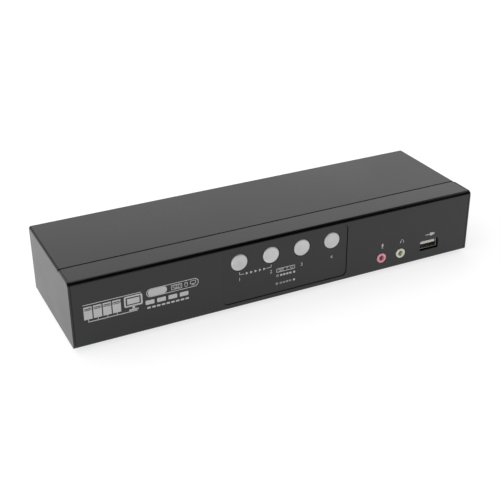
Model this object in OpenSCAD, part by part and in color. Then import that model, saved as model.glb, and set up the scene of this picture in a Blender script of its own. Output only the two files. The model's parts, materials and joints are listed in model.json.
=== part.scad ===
// Four-port desktop switch for monitor, keyboard and mouse, in a folded steel case.
// The front faces -Y, +X is right as seen from the front, and the feet stand on Z = 0.

/* [Case] */
// Width of the case
body_w = 270; // [268:1:290]
// Depth of the case
body_d = 79; // [79:0.5:95]
// Height of the case without its feet
body_h = 42.4; // [41.8:0.1:46]
// Thickness of the steel sheet
sheet = 1.2; // [1.0:0.1:1.3]
// Outer radius of the bends in the sheet
bend_r = 1.6; // [1.5:0.1:2.2]
// Outer radius of the wide bend along the top of the front
fold_r = 2.6; // [2.2:0.1:2.6]
// Depth of the strip that the front folds back over the top
strip_d = 18.3; // [12:0.1:24]
// Gap between neighbouring sheets
seam = 0.4; // [0.2:0.05:0.5]
// Drop of the front strip below the cover's top
strip_drop = 0.3; // [0:0.1:0.5]
// Height of the rubber feet
foot_h = 2.5; // [2:0.5:5]
// Diameter of the rubber feet
foot_dia = 11; // [8:0.5:12]

/* [Buttons] */
// Diameter of a button's face
button_dia = 10.7; // [9:0.1:11]
// Distance between neighbouring buttons
button_pitch = 21; // [19:0.5:21]
// Height of the button row above the case's underside
button_z = 30.1; // [26:0.1:30.5]
// Stroke of a button
button_travel = 0.5; // [0.3:0.1:0.7]
// Height of a button's face above the printed film
button_proud = 0.4; // [0.2:0.1:0.6]
// Width of the window that shows the button panel
window_w = 85; // [84:0.5:90]
// Height of the window that shows the button panel
window_h = 35.6; // [34:0.1:35.6]
// Corner radius of the window
window_r = 3; // [1:0.5:5]

/* [Front sockets] */
// Distance of the microphone socket from the case's middle
front_mic_x = 68.2; // [66:0.1:70]
// Distance of the headphone socket from the case's middle
front_phone_x = 82.7; // [80:0.1:84]
// Distance of the front USB socket from the case's middle
front_usb_x = 105; // [100:0.5:110]
// Height of the front audio sockets above the case's underside
front_jack_z = 9.4; // [9:0.1:9.8]
// Height of the front USB socket above the case's underside
front_usb_z = 10.4; // [9.5:0.1:11]

/* [Rear sockets] */
// Distance between neighbouring groups of computer sockets
group_pitch = 47; // [45:0.5:47]
// Centre of the first group of computer sockets
first_group_x = 101; // [98:0.5:101]
// Centre of the group of console sockets
console_x = -87; // [-88:0.5:-86]
// Centre of the power socket
power_x = -119; // [-120:0.5:-118]
// Bore of an audio socket
jack_bore = 3.6; // [3.55:0.05:3.7]

/* [Boards] */
// Thickness of the circuit boards
board_t = 1.6; // [1.2:0.2:1.6]
// Height of the posts under the main board
standoff_h = 2.4; // [2.4:0.1:2.6]
// Height of the video board's underside above the case's underside
video_z = 22; // [22:0.1:23]

/* [Hidden] */
$fn = 64;
ports = 4;
proud = 0.6;
eps = 0.01;

// Sheet metal
front_y = -body_d / 2;
rear_y = body_d / 2;
strip_y = front_y + strip_d;
inner_w = body_w - 2 * (sheet + 0.2);
strip_top = body_h - strip_drop;
lip_z = body_h - sheet - 0.1;
lip_l = 6;
lip_inset = 3;
plate_gap = 0.05;
side_low = 0.2;
relief_w = 1.25;
wall_in = front_y + sheet;
tab_w = 14;
tab_l = 12;
tab_root = 0.6;
side_tab_x = body_w / 2 - sheet - tab_l / 2;
side_tab_y = 28;
rear_tabs = [-110, 0, 110];
rear_tab_h = 8.4;
rear_screw_z = body_h - sheet - rear_tab_h / 2;
flange_l = 9;
flange_w = 236;
flange_screws = [-100, 0, 100];
flange_screw_y = rear_y - sheet - flange_l / 2;
case_screw_l = 3.2;

// Screws
m3_d = 3;
m3_thread = 3.04;
m3_clear = 3.4;
m3_head_d = 5.6;
m3_head_h = 1.4;
m2_d = 2;
m2_thread = 2.04;
m2_clear = 2.3;
m2_head_d = 3.8;
m2_head_h = 1;
foot_x = 117;
foot_y = 26;
foot_edge = 0.8;
stud_d = 2.5;
stud_l = 5.2;
stud_x = 48.5;
stud_z = [11, 31];

// Placing: the rear screws stand prouder than the front sockets, so the case sits off centre
// by half the difference
depth_shift = (m3_head_h - proud) / 2;

// Button module, from the window inwards
film_t = 0.2;
film_gap = 0.2;
land_t = 0.5;
land_gap = 0.3;
panel_t = 2.2;
panel_w = 104;
panel_h = window_h + 0.6;
window_z = body_h / 2;
panel_y = wall_in;
panel_back = panel_y + panel_t;
film_back = panel_y - land_t;
cap_front = film_back - film_t - button_proud;
cap_clear = 0.15;
cap_flange_d = 13;
cap_flange_t = 1;
cap_flange_y = panel_back + 0.1;
cap_stem_d = 4;
light_tube_d = 14.6;
light_tube_bore = 13.4;
light_tube_end = -31.2;
switch_w = 6.2;
switch_h = 3.5;
switch_y = -29.5;
plunger_d = 3.5;
plunger_tip = -33.8;
plunger_l = 2.3;
button_board_w = 90;
button_board_h = 18.4;
boss_d = 5;
boss_x = 41.5;
boss_z = [-5.8, 5.8];

// Boards
board_z = sheet + standoff_h;
board_top = board_z + board_t;
board_front = front_y + 1.9;
board_rear = rear_y - 1.9;
main_board_w = 254;
video_top = video_z + board_t;
video_x = [-98, 112];
video_front = -14;
standoff_d = 5.5;
standoffs = [[-108, -20], [-108, 14], [20, -20], [-17, 26], [108, -20], [108, 14]];
clinch_d = 4.2;
spacers = [[-92, -8], [106, -8], [-64, 26], [77, 26]];
header_z = 24;
header_l = 14;
header_w = 4.8;
header_h = 4;
header_y = -17;

// Chips as [x, y, width, depth], capacitors as [x, y], and the heat sink
logic = [[-8, -2, 14, 14], [50, -14, 10, 10], [84, -16, 7, 5]];
chip_t = 1.3;
cans = [[-121, -8], [-102, 2], [-102, -8], [36, -4], [70, 2]];
can_d = 6.3;
can_h = 7.5;
video_chip_w = 17;
sink_x = 6.5;
sink_y = 6.5;
sink_w = 30;
sink_base = 2;
fins = 8;
fin_t = 1.2;
fin_h = 6;

// Ribbon cable
cable_w = 9;
cable_t = 0.9;
cable_bend = 4;

// Rear sockets
shell_t = 0.35;
usb_b_dx = -12;
speaker_dx = 1.5;
mic_dx = 12.5;
console_usb_dx = -14;
hdmi_w = 15;
hdmi_h = 5.6;
hdmi_l = 11.6;
hdmi_block = 3;
usb_a_tongue_w = 11.1;
usb_a_tongue_t = 1.84;
hdmi_z = video_top + hdmi_h / 2;
usb_a_w = 13.2;
front_usb_set = 1.6;
usb_a_h = 5.8;
usb_a_l = 14;
usb_pair_h = 15.6;
usb_pair_l = 17.5;
usb_b_w = 12;
usb_b_h = 10.9;
usb_b_l = 16;
jack_l = 14.6;
jack_bore_l = 13.5;
jack_setback = 2.2;
rear_jack_w = 9.6;
rear_jack_h = 11.6;
rear_jack_z = board_top + 5.4;
rear_collar_d = 8.2;
front_collar_d = 6.4;
front_jack_w = 10;
front_jack_h = 7.8;
power_z = board_top + 6.5;
power_collar_d = 8;
power_bore_d = 6;
power_pin_d = 2;
mouth = rear_y + proud;

function group_x(n) = first_group_x - (n - 1) * group_pitch;
function button_x(n) = (n - (ports + 1) / 2) * button_pitch;

// ---------- Shared shapes ----------

// Moves the case from its own zero, the middle of its underside, up onto the feet
module placed() {
    translate([0, -depth_shift, foot_h]) children();
}

// Rectangle with round corners, about the origin
module round_rect(w, h, r) {
    square([w - 2 * r, h], center = true);
    square([w, h - 2 * r], center = true);
    for (sx = [-1, 1], sy = [-1, 1])
        translate([sx * (w / 2 - r), sy * (h / 2 - r)]) circle(r);
}

// Quarter of a bend about the origin, in the +X +Y quarter
module bend(r) {
    intersection() {
        difference() {
            circle(r);
            circle(r - sheet);
        }
        square(r + 1);
    }
}

// Extrudes a profile drawn in (Y, Z) along X, about X = 0
module along_x(length) {
    rotate([90, 0, 90]) linear_extrude(height = length, center = true) children();
}

// Extrudes a profile drawn in (X, Z) from y0 to y1
module along_y(y0, y1) {
    translate([0, y1, 0]) rotate([90, 0, 0]) linear_extrude(height = y1 - y0) children();
}

// Cylinder along Y from y0 to y1
module rod_y(d, y0, y1) {
    translate([0, y1, 0]) rotate([90, 0, 0]) cylinder(d = d, h = y1 - y0);
}

// Pan-head screw with a cross recess: its head is below Z = 0 and its shank above
module pan_screw(d, head_d, head_h, length) {
    crown_h = head_h * 0.35;
    slot_l = head_d * 0.6;
    slot_w = head_d * 0.12;
    slot_deep = head_h * 0.6;
    difference() {
        union() {
            translate([0, 0, -head_h / 2]) cylinder(d = d, h = length + head_h / 2);
            translate([0, 0, -head_h]) cylinder(d1 = head_d * 0.86, d2 = head_d, h = crown_h);
            translate([0, 0, -head_h + crown_h - eps]) cylinder(d = head_d, h = head_h - crown_h + eps);
        }
        for (a = [0, 90])
            rotate(a) translate([-slot_l / 2, -slot_w / 2, -head_h - 1])
                cube([slot_l, slot_w, 1 + slot_deep]);
    }
}

module m3_screw(length) {
    pan_screw(m3_d, m3_head_d, m3_head_h, length);
}

// ---------- Case ----------

// Section of the chassis: bottom, front and the strip over the top, with a lip that the cover lies on
module chassis_profile() {
    translate([front_y + bend_r, 0]) square([body_d - bend_r, sheet]);
    translate([front_y + bend_r, bend_r]) rotate(180) bend(bend_r);
    translate([front_y, bend_r]) square([sheet, strip_top - bend_r - fold_r]);
    translate([front_y + fold_r, strip_top - fold_r]) rotate(90) bend(fold_r);
    translate([front_y + fold_r, strip_top - sheet]) square([strip_d - fold_r, sheet]);
    translate([strip_y - sheet, lip_z - sheet]) square([sheet, strip_top - lip_z + sheet]);
    translate([strip_y - sheet, lip_z - sheet]) square([sheet + lip_l, sheet]);
}

module front_cutouts() {
    along_y(front_y - 1, wall_in + 0.4) {
        translate([0, window_z]) round_rect(window_w, window_h, window_r);
        translate([front_usb_x, front_usb_z]) round_rect(usb_a_w + 1, usb_a_h + 1.4, 0.6);
    }
    for (x = [front_mic_x, front_phone_x])
        translate([x, 0, front_jack_z]) rod_y(front_collar_d + 0.4, front_y - 1, wall_in + 1);
}

module bottom_holes() {
    for (sx = [-1, 1], sy = [-1, 1])
        translate([sx * side_tab_x, sy * side_tab_y, -1]) cylinder(d = m3_clear, h = 4);
    for (x = flange_screws)
        translate([x, flange_screw_y, -1]) cylinder(d = m3_clear, h = 4);
    for (p = standoffs)
        translate([p[0], p[1], -1]) cylinder(d = clinch_d + 0.04, h = 4);
}

module base_chassis() {
    color("#17181a") placed() {
        difference() {
            along_x(inner_w) chassis_profile();
            front_cutouts();
            bottom_holes();
            for (sx = [-1, 1])
                translate([sx * inner_w / 2 - lip_inset, strip_y + seam, body_h / 2])
                    cube([2 * lip_inset, lip_l + 1, body_h]);
        }
        for (sx = [-1, 1], z = stud_z)
            translate([sx * stud_x, 0, z]) rod_y(stud_d, wall_in - eps, wall_in + stud_l);
    }
}

// Section of the cover: top and two sides
module cover_profile() {
    translate([-body_w / 2 + bend_r, body_h - sheet]) square([body_w - 2 * bend_r, sheet]);
    for (sx = [0, 1]) mirror([sx, 0]) {
        translate([body_w / 2 - bend_r, body_h - bend_r]) bend(bend_r);
        translate([body_w / 2 - sheet, side_low]) square([sheet, body_h - bend_r - side_low]);
    }
}

// Outline in (Y, Z) of a side's front end, whose corners follow the chassis's bends
module side_nose() {
    translate([front_y + bend_r, side_low]) square([strip_d - bend_r + 1, strip_top - fold_r - side_low]);
    translate([front_y + fold_r, side_low]) square([strip_d - fold_r + 1, body_h - bend_r - side_low]);
    translate([front_y + fold_r, strip_top - fold_r - eps])
        square([strip_d + seam - fold_r - relief_w, fold_r + eps]);
    translate([front_y, bend_r]) square([bend_r + eps, strip_top - bend_r - fold_r]);
    translate([front_y + fold_r, strip_top - fold_r]) circle(fold_r);
    intersection() {
        translate([front_y + bend_r, bend_r]) circle(bend_r);
        translate([front_y, side_low]) square([2 * bend_r, bend_r]);
    }
}

module top_cover() {
    color("#1b1c1e") placed() difference() {
        union() {
            along_y(strip_y + seam, rear_y) cover_profile();
            for (sx = [-1, 1]) translate([sx * (body_w - sheet) / 2, 0, 0]) along_x(sheet) side_nose();
            for (sx = [-1, 1], sy = [-1, 1])
                translate([sx * (side_tab_x + tab_root / 2), sy * side_tab_y, sheet * 1.5 + plate_gap])
                    cube([tab_l + tab_root, tab_w, sheet], center = true);
            for (x = rear_tabs)
                translate([x - tab_w / 2, rear_y - 2 * sheet - 0.1, rear_screw_z - rear_tab_h / 2])
                    cube([tab_w, sheet, rear_tab_h + eps]);
        }
        for (sx = [-1, 1], sy = [-1, 1])
            translate([sx * side_tab_x, sy * side_tab_y, 0]) cylinder(d = m3_thread, h = 5);
        for (x = rear_tabs)
            translate([x, 0, rear_screw_z]) rod_y(m3_thread, rear_y - 5, rear_y - sheet);
    }
}

// Section of the rear panel, with a flange that lies on the chassis
module rear_profile() {
    low = sheet + plate_gap;
    translate([rear_y - sheet, low + bend_r]) square([sheet, lip_z - low - bend_r]);
    translate([rear_y - bend_r, low + bend_r]) rotate(-90) bend(bend_r);
    translate([rear_y - flange_l, low]) square([flange_l - bend_r, sheet]);
}

// Window round a socket of width w and height h, with a small gap all round
module rear_window(w, h) {
    round_rect(w + 0.6, h + 0.6, 0.4);
}

// Clearance outlines, in (X, Z), of one group of computer sockets
module group_cutouts() {
    translate([usb_b_dx, board_top + usb_b_h / 2]) rear_window(usb_b_w, usb_b_h);
    translate([0, hdmi_z]) rear_window(hdmi_w, hdmi_h);
}

module rear_cutouts() {
    along_y(rear_y - sheet - 1, rear_y + 1) {
        for (n = [1:ports]) translate([group_x(n), 0]) group_cutouts();
        translate([console_x, hdmi_z]) rear_window(hdmi_w, hdmi_h);
        translate([console_x + console_usb_dx, board_top + usb_pair_h / 2]) rear_window(usb_a_w, usb_pair_h);
    }
    for (x = [for (n = [1:ports]) group_x(n), console_x], dx = [speaker_dx, mic_dx])
        translate([x + dx, 0, rear_jack_z]) rod_y(rear_collar_d + 0.4, rear_y - 3, rear_y + 1);
    translate([power_x, 0, power_z]) rod_y(power_collar_d + 0.4, rear_y - 3, rear_y + 1);
    for (x = rear_tabs)
        translate([x, 0, rear_screw_z]) rod_y(m3_clear, rear_y - 3, rear_y + 1);
}

module rear_panel() {
    color("#17181a") placed() difference() {
        intersection() {
            along_x(inner_w) rear_profile();
            along_y(rear_y - flange_l - 1, rear_y + 1) round_rect(inner_w, 2 * lip_z, bend_r - sheet);
        }
        rear_cutouts();
        for (sx = [0, 1]) mirror([sx, 0, 0])
            translate([flange_w / 2, rear_y - flange_l - 1, 0]) cube([inner_w, flange_l + 1 - sheet, 5]);
        for (x = flange_screws)
            translate([x, flange_screw_y, 0]) cylinder(d = m3_thread, h = 5);
    }
}

module case_screws() {
    color("#2a2b2d") placed() {
        for (sx = [-1, 1], sy = [-1, 1])
            translate([sx * side_tab_x, sy * side_tab_y, 0]) m3_screw(case_screw_l);
        for (x = flange_screws)
            translate([x, flange_screw_y, 0]) m3_screw(case_screw_l);
        for (x = rear_tabs)
            translate([x, rear_y, rear_screw_z]) rotate([90, 0, 0]) m3_screw(case_screw_l);
    }
}

module rubber_feet() {
    color("#0d0d0e") placed()
        for (sx = [-1, 1], sy = [-1, 1])
            translate([sx * foot_x, sy * foot_y, -foot_h]) {
                cylinder(d1 = foot_dia - 2 * foot_edge, d2 = foot_dia, h = foot_edge);
                translate([0, 0, foot_edge - eps]) cylinder(d = foot_dia, h = foot_h - foot_edge + eps);
            }
}

// ---------- Button module ----------

module button_panel() {
    color("#111214") placed() difference() {
        union() {
            along_y(panel_y, panel_back) translate([0, window_z]) square([panel_w, panel_h], center = true);
            along_y(film_back, panel_y + eps) translate([0, window_z])
                round_rect(window_w - 2 * land_gap, window_h - 2 * land_gap, window_r - land_gap);
            for (n = [1:ports])
                translate([button_x(n), 0, button_z]) rod_y(light_tube_d, panel_back - eps, light_tube_end);
            for (sx = [-1, 1], dz = boss_z)
                translate([sx * boss_x, 0, button_z + dz]) rod_y(boss_d, panel_back - eps, switch_y);
        }
        for (n = [1:ports]) translate([button_x(n), 0, button_z]) {
            rod_y(button_dia + 2 * cap_clear, panel_y - 1, panel_back + 1);
            rod_y(light_tube_bore, panel_back, light_tube_end + 1);
        }
        for (sx = [-1, 1], dz = boss_z)
            translate([sx * boss_x, 0, button_z + dz]) rod_y(m2_thread, panel_back + 1.5, switch_y + 1);
        for (sx = [-1, 1], z = stud_z)
            translate([sx * stud_x, 0, z]) rod_y(stud_d + 0.3, panel_y - 1, panel_back + 1);
    }
}

module panel_overlay() {
    color("#1e2022") placed() difference() {
        along_y(film_back - film_t, film_back) translate([0, window_z])
            round_rect(window_w - 2 * film_gap, window_h - 2 * film_gap, window_r - film_gap);
        for (n = [1:ports])
            translate([button_x(n), 0, button_z]) rod_y(button_dia + 0.5, film_back - 1, film_back + 1);
    }
}

module panel_nuts() {
    color("#b9bcc0") placed()
        for (sx = [-1, 1], z = stud_z) translate([sx * stud_x, 0, z]) difference() {
            translate([0, panel_back + 2, 0]) rotate([90, 0, 0]) cylinder(d = 5.6, h = 2, $fn = 6);
            rod_y(stud_d + 0.04, panel_back - 1, panel_back + 3);
        }
}

module button_cap(n) {
    color("#bfbfbd") placed() translate([button_x(n), 0, button_z]) {
        rod_y(button_dia, cap_front, cap_flange_y + eps);
        rod_y(cap_flange_d, cap_flange_y, cap_flange_y + cap_flange_t);
        rod_y(cap_stem_d, cap_flange_y + cap_flange_t - eps, plunger_tip);
    }
}

module switch_plunger(n) {
    color("#303234") placed() translate([button_x(n), 0, button_z])
        rod_y(plunger_d, plunger_tip, plunger_tip + plunger_l);
}

module switch_bodies() {
    color("#202224") placed()
        for (n = [1:ports]) translate([button_x(n), 0, button_z]) difference() {
            translate([-switch_w / 2, switch_y - switch_h, -switch_w / 2])
                cube([switch_w, switch_h, switch_w]);
            rod_y(plunger_d + 0.2, switch_y - switch_h - 1, switch_y - 0.7);
        }
}

module button_leds() {
    color("#f2f0dc") placed()
        for (n = [1:ports], sx = [-1, 1])
            translate([button_x(n) + sx * 5.2 - 0.8, switch_y - 1.2, button_z - 1.6]) cube([1.6, 1.2, 3.2]);
}

module button_board() {
    color("#1d5a34") placed() difference() {
        translate([-button_board_w / 2, switch_y, button_z - button_board_h / 2])
            cube([button_board_w, board_t, button_board_h]);
        for (sx = [-1, 1], dz = boss_z)
            translate([sx * boss_x, 0, button_z + dz]) rod_y(m2_clear, switch_y - 1, switch_y + 3);
    }
}

module button_board_screws() {
    color("#c9ccd0") placed()
        for (sx = [-1, 1], dz = boss_z)
            translate([sx * boss_x, switch_y + board_t, button_z + dz])
                rotate([90, 0, 0]) pan_screw(m2_d, m2_head_d, m2_head_h, 5.2);
}

// Flat cable that turns down from the button board to the main board
module ribbon_cable() {
    back = switch_y + board_t + header_h;
    low = board_top + header_h;
    color("#8d9094") placed() along_x(cable_w) {
        translate([back, header_z - cable_t / 2]) square([header_y - cable_bend - back, cable_t]);
        translate([header_y - cable_bend, header_z - cable_bend]) intersection() {
            difference() {
                circle(cable_bend + cable_t / 2);
                circle(cable_bend - cable_t / 2);
            }
            square(cable_bend + 2);
        }
        translate([header_y - cable_t / 2, low]) square([cable_t, header_z - cable_bend - low]);
    }
}

// The ribbon's two headers and the tall connector between the boards
module board_headers() {
    color("#e4e1d6") placed() {
        translate([-header_l / 2, switch_y + board_t, header_z - header_w / 2])
            cube([header_l, header_h, header_w]);
        translate([-header_l / 2, header_y - header_w / 2, board_top]) cube([header_l, header_w, header_h]);
        translate([-46, -8, board_top]) cube([34, 5, video_z - board_top]);
    }
}

// ---------- Boards ----------

module main_board() {
    color("#1d5a34") placed() difference() {
        translate([-main_board_w / 2, board_front, board_z])
            cube([main_board_w, board_rear - board_front, board_t]);
        translate([-panel_w / 2 - 0.5, board_front - 1, board_z - 1])
            cube([panel_w + 1, panel_back + 1.3 - board_front, board_t + 2]);
        for (p = concat(standoffs, spacers)) translate([p[0], p[1], 0]) cylinder(d = m3_clear, h = 10);
    }
}

module video_board() {
    color("#1d5a34") placed() difference() {
        translate([video_x[0], video_front, video_z])
            cube([video_x[1] - video_x[0], board_rear - video_front, board_t]);
        for (p = spacers) translate([p[0], p[1], video_z - 1]) cylinder(d = m3_clear, h = 4);
    }
}

module post(d, h) {
    difference() {
        cylinder(d = d, h = h);
        translate([0, 0, -1]) cylinder(d = m3_thread, h = h + 2);
    }
}

module board_standoffs() {
    color("#c8ab5a") placed()
        for (p = standoffs) translate([p[0], p[1], 0]) {
            translate([0, 0, sheet]) post(standoff_d, standoff_h);
            post(clinch_d, sheet + eps);
        }
}

module board_spacers() {
    color("#c8ab5a") placed()
        for (p = spacers) translate([p[0], p[1], board_top]) difference() {
            cylinder(d = standoff_d, h = video_z - board_top, $fn = 6);
            translate([0, 0, -1]) cylinder(d = m3_thread, h = video_z - board_top + 2);
        }
}

module board_screws() {
    color("#c9ccd0") placed() {
        for (p = standoffs) translate([p[0], p[1], board_top]) mirror([0, 0, 1]) m3_screw(3.8);
        for (p = spacers) {
            translate([p[0], p[1], video_top]) mirror([0, 0, 1]) m3_screw(5);
            translate([p[0], p[1], board_z]) m3_screw(5);
        }
    }
}

module logic_chips() {
    color("#151617") placed()
        for (chip = logic) translate([chip[0], chip[1], board_top]) cube([chip[2], chip[3], chip_t]);
}

module capacitors() {
    color("#2c3550") placed()
        for (p = cans) translate([p[0], p[1], board_top]) cylinder(d = can_d, h = can_h);
}

module video_chip() {
    color("#151617") placed()
        translate([sink_x - video_chip_w / 2, sink_y - video_chip_w / 2, video_top])
            cube([video_chip_w, video_chip_w, chip_t]);
}

module heat_sink() {
    step = (sink_w - fin_t) / (fins - 1);
    color("#b4b7ba") placed() translate([sink_x - sink_w / 2, sink_y - sink_w / 2, video_top + chip_t]) {
        cube([sink_w, sink_w, sink_base]);
        for (i = [0:fins - 1]) translate([i * step, 0, sink_base - eps]) cube([fin_t, sink_w, fin_h]);
    }
}

// ---------- Sockets: each has its mouth at Y = 0, facing -Y, and runs back along +Y ----------

// Turns a socket to the rear, at X and height Z
module at_rear(x, z) {
    translate([x, mouth, z]) rotate(180) children();
}

// Outline of an HDMI shell, taken in by g
module hdmi_outline(g) {
    half = hdmi_w / 2 - g;
    top = hdmi_h / 2 - g;
    polygon([[-half, top], [half, top], [half, -0.9 + 0.4 * g],
             [5.9 - 0.6 * g, -top], [-5.9 + 0.6 * g, -top], [-half, -0.9 + 0.4 * g]]);
}

module hdmi_shell() {
    color("#b8babd") along_y(0, hdmi_l) difference() {
        hdmi_outline(0);
        hdmi_outline(shell_t);
    }
}

module hdmi_tongue() {
    along_y(hdmi_l - hdmi_block, hdmi_l) hdmi_outline(shell_t + 0.05);
    translate([-5.8, 1.6, -0.3]) cube([11.6, hdmi_l - hdmi_block - 1, 1.3]);
}

module usb_a_shell() {
    color("#b8babd") {
        along_y(0, usb_a_l) difference() {
            square([usb_a_w, usb_a_h], center = true);
            square([usb_a_w - 2 * shell_t, usb_a_h - 2 * shell_t], center = true);
        }
        translate([-usb_a_w / 2 + 1, 0, usb_a_h / 2 - eps]) cube([usb_a_w - 2, shell_t, 0.5]);
        for (sx = [-1, 1], y = [4, 11])
            translate([sx * (usb_a_w - shell_t) / 2 - shell_t / 2, y, board_top - front_usb_z])
                cube([shell_t, 2, front_usb_z - board_top - usb_a_h / 2 + 0.2]);
    }
}

module usb_a_tongue() {
    inside_w = usb_a_w - 2 * shell_t - 0.1;
    inside_h = usb_a_h - 2 * shell_t - 0.1;
    translate([-inside_w / 2, usb_a_l - 3, -inside_h / 2]) cube([inside_w, 3, inside_h]);
    translate([-usb_a_tongue_w / 2, 0.4, 0.15]) cube([usb_a_tongue_w, usb_a_l - 3, usb_a_tongue_t]);
}

module usb_pair_shell() {
    color("#b8babd") along_y(0, usb_pair_l) difference() {
        square([usb_a_w, usb_pair_h], center = true);
        square([usb_a_w - 2 * shell_t, usb_pair_h - 2 * shell_t], center = true);
    }
}

// Block with a middle bar and two tongues, seen from the side as an E
module usb_pair_tongues() {
    inside_w = usb_a_w - 2 * shell_t - 0.1;
    inside_h = usb_pair_h - 2 * shell_t - 0.1;
    bar_h = 4.3;
    translate([-inside_w / 2, usb_pair_l - 6, -inside_h / 2]) cube([inside_w, 6, inside_h]);
    translate([-inside_w / 2, 0.4, -bar_h / 2]) cube([inside_w, usb_pair_l - 6, bar_h]);
    for (z = [bar_h / 2 + 2.9, -bar_h / 2 - 2.3])
        translate([-usb_a_tongue_w / 2, 1.5, z - 0.1]) cube([usb_a_tongue_w, usb_pair_l - 7, usb_a_tongue_t]);
}

// Mouth of a USB-B socket: a square with its upper corners cut
module usb_b_outline() {
    polygon([[-4.25, -3.9], [4.25, -3.9], [4.25, 2], [2.35, 3.9], [-2.35, 3.9], [-4.25, 2]]);
}

module usb_b_shell() {
    color("#b8babd") {
        along_y(0, shell_t) difference() {
            square([usb_b_w, usb_b_h], center = true);
            usb_b_outline();
        }
        along_y(shell_t - eps, usb_b_l) difference() {
            square([usb_b_w, usb_b_h], center = true);
            square([usb_b_w - 2 * shell_t, usb_b_h - 2 * shell_t], center = true);
        }
    }
}

module usb_b_tongue() {
    along_y(shell_t + 0.05, usb_b_l) difference() {
        square([usb_b_w - 2 * shell_t - 0.1, usb_b_h - 2 * shell_t - 0.1], center = true);
        usb_b_outline();
    }
    along_y(9.4, usb_b_l - 1) square([9, 8], center = true);
    translate([-2.8, 1.2, -1.6]) cube([5.6, 9, 3.2]);
}

// Audio socket with a round collar; low is the height of its axis above its underside
module audio_jack(w, h, low, collar_d) {
    difference() {
        union() {
            translate([-w / 2, jack_setback, -low]) cube([w, jack_l - jack_setback, h]);
            rod_y(collar_d, 0, jack_setback + eps);
        }
        rod_y(jack_bore, -1, jack_bore_l);
    }
}

module front_jack(x, tint) {
    color(tint) placed() translate([x, front_y - proud, front_jack_z])
        audio_jack(front_jack_w, front_jack_h, front_jack_z - board_top, front_collar_d);
}

module rear_jack(x, tint) {
    color(tint) placed() at_rear(x, rear_jack_z)
        audio_jack(rear_jack_w, rear_jack_h, rear_jack_z - board_top, rear_collar_d);
}

module mic_jack(n) {
    rear_jack(group_x(n) + mic_dx, "#e38ba0");
}

module speaker_jack(n) {
    rear_jack(group_x(n) + speaker_dx, "#b9cf9a");
}

module hdmi_in_shell(n) {
    placed() at_rear(group_x(n), hdmi_z) hdmi_shell();
}

module hdmi_out_shell() {
    placed() at_rear(console_x, hdmi_z) hdmi_shell();
}

module hdmi_tongues() {
    color("#101112") placed() {
        for (n = [1:ports]) at_rear(group_x(n), hdmi_z) hdmi_tongue();
        at_rear(console_x, hdmi_z) hdmi_tongue();
    }
}

module usb_b_shell_at(n) {
    placed() at_rear(group_x(n) + usb_b_dx, board_top + usb_b_h / 2) usb_b_shell();
}

module usb_b_tongues() {
    color("#e8e6e0") placed()
        for (n = [1:ports]) at_rear(group_x(n) + usb_b_dx, board_top + usb_b_h / 2) usb_b_tongue();
}

module console_usb_shell() {
    placed() at_rear(console_x + console_usb_dx, board_top + usb_pair_h / 2) usb_pair_shell();
}

module front_usb_shell() {
    placed() translate([front_usb_x, front_y + front_usb_set, front_usb_z]) usb_a_shell();
}

module usb_a_tongues() {
    color("#dedcd6") placed() {
        translate([front_usb_x, front_y + front_usb_set, front_usb_z]) usb_a_tongue();
        at_rear(console_x + console_usb_dx, board_top + usb_pair_h / 2) usb_pair_tongues();
    }
}

module power_jack() {
    color("#121314") placed() at_rear(power_x, power_z) difference() {
        union() {
            translate([-4.5, jack_setback, board_top - power_z]) cube([9, 12, 11]);
            rod_y(power_collar_d, 0, jack_setback + eps);
        }
        rod_y(power_bore_d, -1, 9.5);
    }
}

module power_pin() {
    color("#c9ccd0") placed() at_rear(power_x, power_z) rod_y(power_pin_d, 1.5, 9.5);
}

// ---------- Nodes ----------

base_chassis();
top_cover();
rear_panel();
case_screws();
rubber_feet();
button_panel();
panel_overlay();
panel_nuts();
button_cap(1);  // button_cap_1
button_cap(2);  // button_cap_2
button_cap(3);  // button_cap_3
button_cap(4);  // button_cap_4
switch_plunger(1);  // switch_plunger_1
switch_plunger(2);  // switch_plunger_2
switch_plunger(3);  // switch_plunger_3
switch_plunger(4);  // switch_plunger_4
switch_bodies();
button_leds();
button_board();
button_board_screws();
ribbon_cable();
board_headers();
main_board();
video_board();
board_standoffs();
board_spacers();
board_screws();
logic_chips();
capacitors();
video_chip();
heat_sink();
hdmi_in_shell(1);  // hdmi_in_shell_1
hdmi_in_shell(2);  // hdmi_in_shell_2
hdmi_in_shell(3);  // hdmi_in_shell_3
hdmi_in_shell(4);  // hdmi_in_shell_4
hdmi_out_shell();
hdmi_tongues();
usb_b_shell_at(1);  // usb_b_shell_1
usb_b_shell_at(2);  // usb_b_shell_2
usb_b_shell_at(3);  // usb_b_shell_3
usb_b_shell_at(4);  // usb_b_shell_4
usb_b_tongues();
console_usb_shell();
front_usb_shell();
usb_a_tongues();
front_jack(front_mic_x, "#e38ba0");  // front_mic_jack
front_jack(front_phone_x, "#c5cfa6");  // front_headphone_jack
rear_jack(console_x + mic_dx, "#e38ba0");  // console_mic_jack
rear_jack(console_x + speaker_dx, "#b9cf9a");  // console_speaker_jack
mic_jack(1);  // mic_jack_1
mic_jack(2);  // mic_jack_2
mic_jack(3);  // mic_jack_3
mic_jack(4);  // mic_jack_4
speaker_jack(1);  // speaker_jack_1
speaker_jack(2);  // speaker_jack_2
speaker_jack(3);  // speaker_jack_3
speaker_jack(4);  // speaker_jack_4
power_jack();
power_pin();
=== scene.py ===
import json
import math

import bpy
from mathutils import Matrix, Quaternion, Vector


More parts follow.
